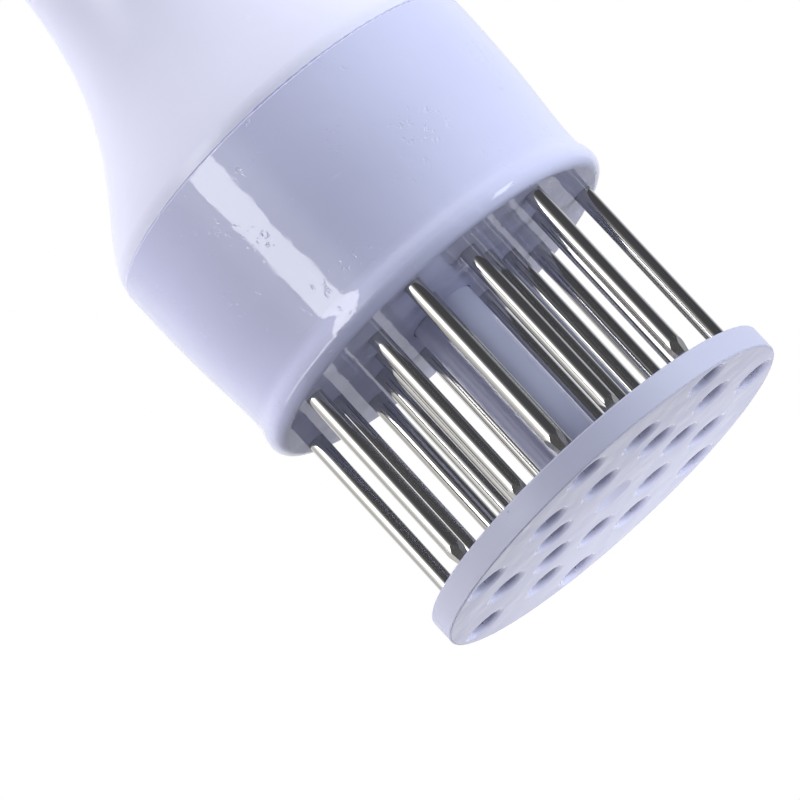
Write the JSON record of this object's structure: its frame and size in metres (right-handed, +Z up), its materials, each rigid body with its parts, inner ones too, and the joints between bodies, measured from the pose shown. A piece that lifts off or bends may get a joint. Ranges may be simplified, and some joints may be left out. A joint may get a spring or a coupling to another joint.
{
  "type": "needle meat tenderizer",
  "caption": "Hand-pressed meat tenderizer: steel needles under a white handle, with a spring-loaded guard disc that slides up the needles on a central post.",
  "frame": {"origin": "centre of the guard disc's underside, which the tool stands on", "axes": "+Z up the handle along the tool's axis of rotation, -Y towards the first needle of the outer ring, +X to the right of it"},
  "size_m": [0.055, 0.055, 0.2],
  "materials": {
    "white_plastic": "glossy moulded white with a cool tint",
    "inner_plastic": "plain moulded, satin",
    "bush_plastic": "low-friction plastic, satin",
    "needle_steel": "polished stainless with fine drawn lines",
    "plate_steel": "stamped stainless, brushed",
    "screw_steel": "bright zinc",
    "spring_steel": "drawn spring wire"
  },
  "bodies": {
    "handle": {"handle_shell": "white_plastic", "grip_end_cap": "white_plastic", "collar_cup": "white_plastic", "needle_clamp_plate": "plate_steel", "clamp_screws": "screw_steel", "guide_bush": "bush_plastic", "guide_tube": "inner_plastic", "tube_cap": "inner_plastic", "return_spring": "spring_steel", "needle_inner_1": "needle_steel", "needle_inner_2": "needle_steel", "needle_inner_3": "needle_steel", "needle_inner_4": "needle_steel", "needle_inner_5": "needle_steel", "needle_inner_6": "needle_steel", "needle_inner_7": "needle_steel", "needle_middle_1": "needle_steel", "needle_middle_2": "needle_steel", "needle_middle_3": "needle_steel", "needle_middle_4": "needle_steel", "needle_middle_5": "needle_steel", "needle_middle_6": "needle_steel", "needle_middle_7": "needle_steel", "needle_outer_1": "needle_steel", "needle_outer_2": "needle_steel", "needle_outer_3": "needle_steel", "needle_outer_4": "needle_steel", "needle_outer_5": "needle_steel", "needle_outer_6": "needle_steel", "needle_outer_7": "needle_steel"},
    "guard": {"guard_disc": "white_plastic", "guard_post": "white_plastic", "retaining_washer": "screw_steel", "retaining_screw": "screw_steel"}
  },
  "joints": [
    {"name": "guard_slide", "type": "slide", "parent": "handle", "child": "guard", "axis": [0, 0, 1], "range_m": [0, 0.028], "stiffness_N_per_m": 350, "springref_m": -0.015, "deforming": ["return_spring"]}
  ]
}
